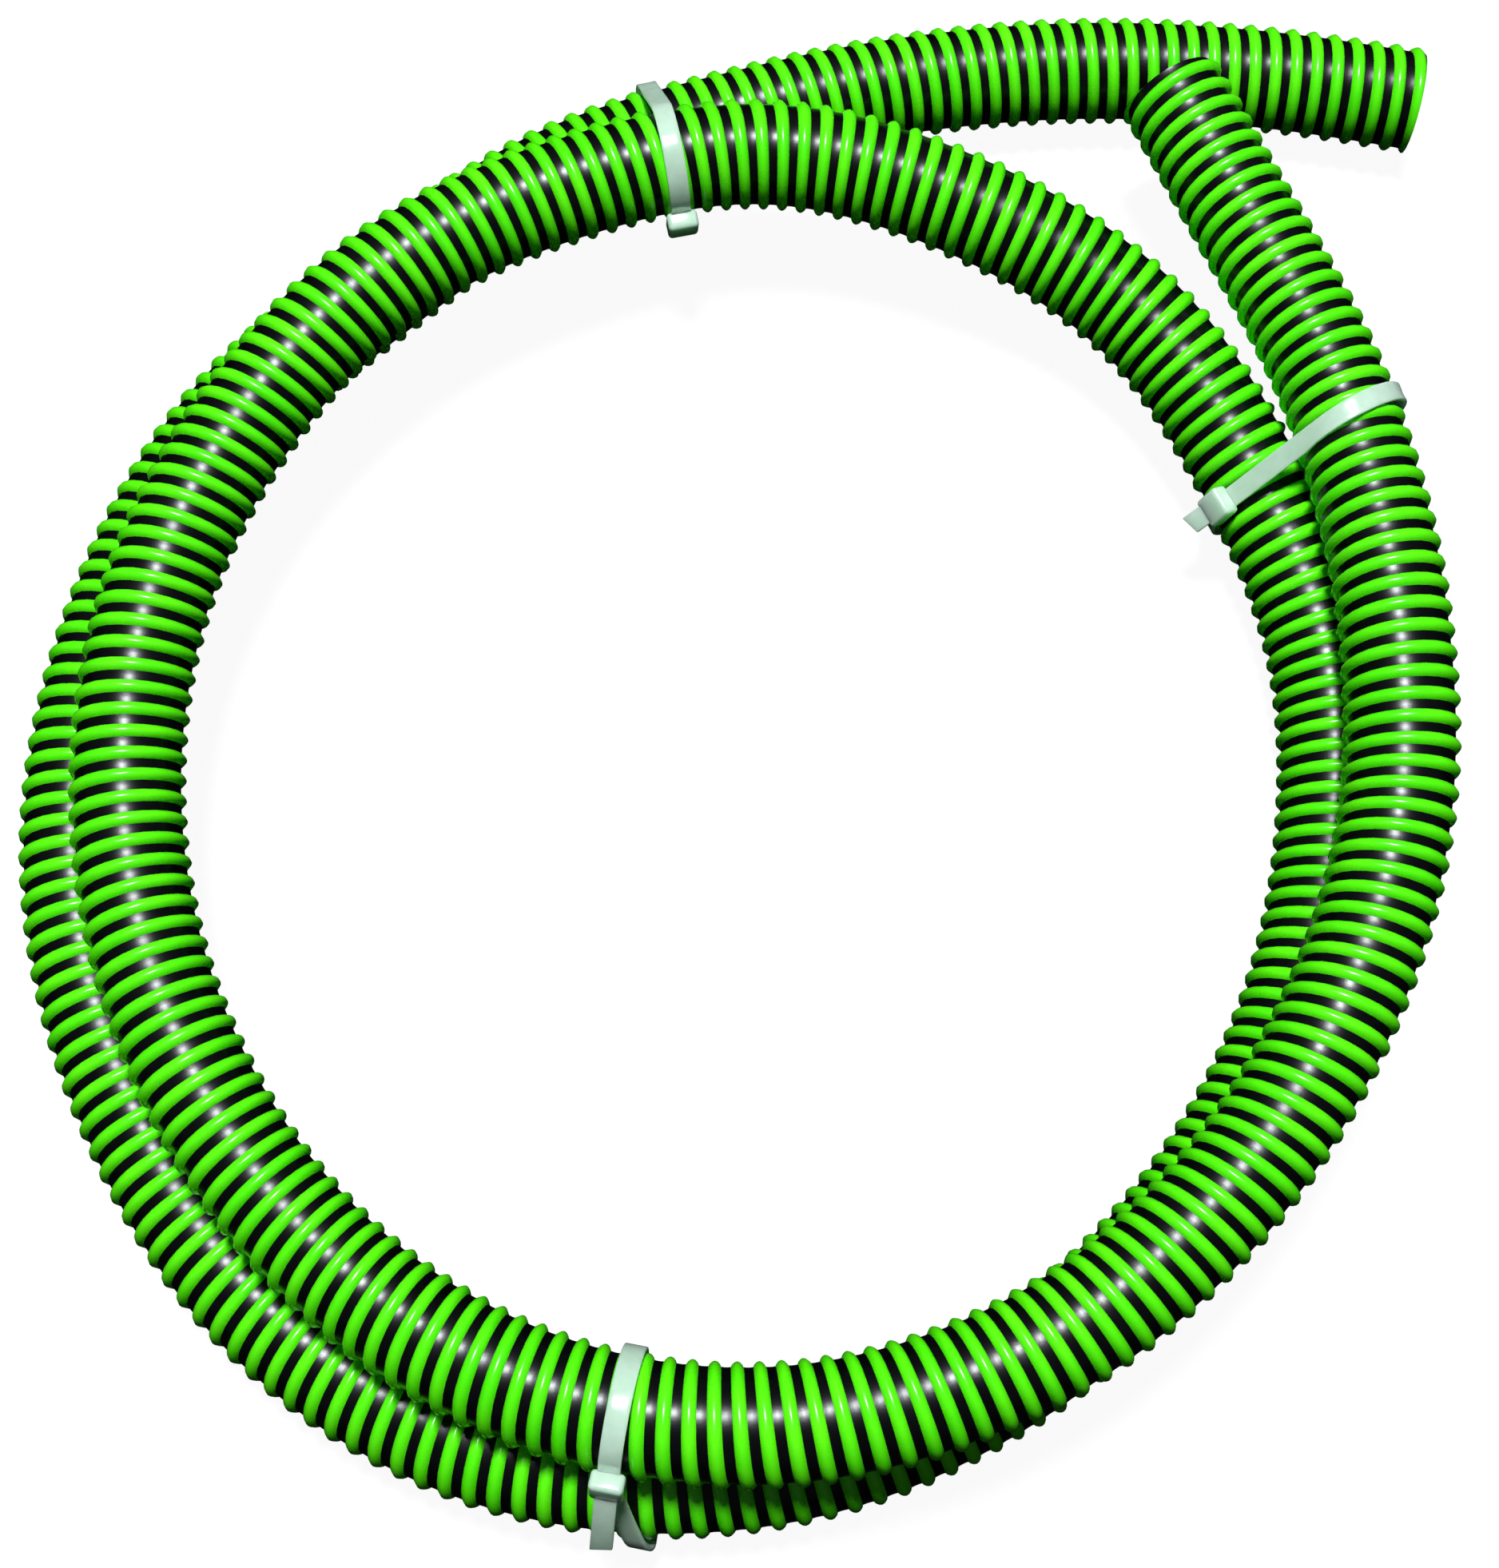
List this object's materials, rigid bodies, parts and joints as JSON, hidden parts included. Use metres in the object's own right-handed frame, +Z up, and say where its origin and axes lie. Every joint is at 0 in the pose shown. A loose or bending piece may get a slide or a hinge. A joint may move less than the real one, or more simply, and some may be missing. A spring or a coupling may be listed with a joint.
{
  "type": "coiled suction hose",
  "caption": "Length of suction hose with a proud spiral rib, wound in a loose coil and held by cable ties, both ends cut square.",
  "frame": {"origin": "on the floor, below the middle of the coil's bounding box", "axes": "+Z up out of the coil, +Y towards the side where the hose's two ends part, +X the way the lower end points"},
  "size_m": [0.5356, 0.5852, 0.0835],
  "materials": {
    "hose": "glossy black rubber wall with a raised bright green spiral rib",
    "tie": "natural milky nylon"
  },
  "bodies": {
    "root": {"hose": "hose", "tie_top": "tie", "tie_right": "tie", "tie_bottom": "tie"}
  },
  "joints": []
}
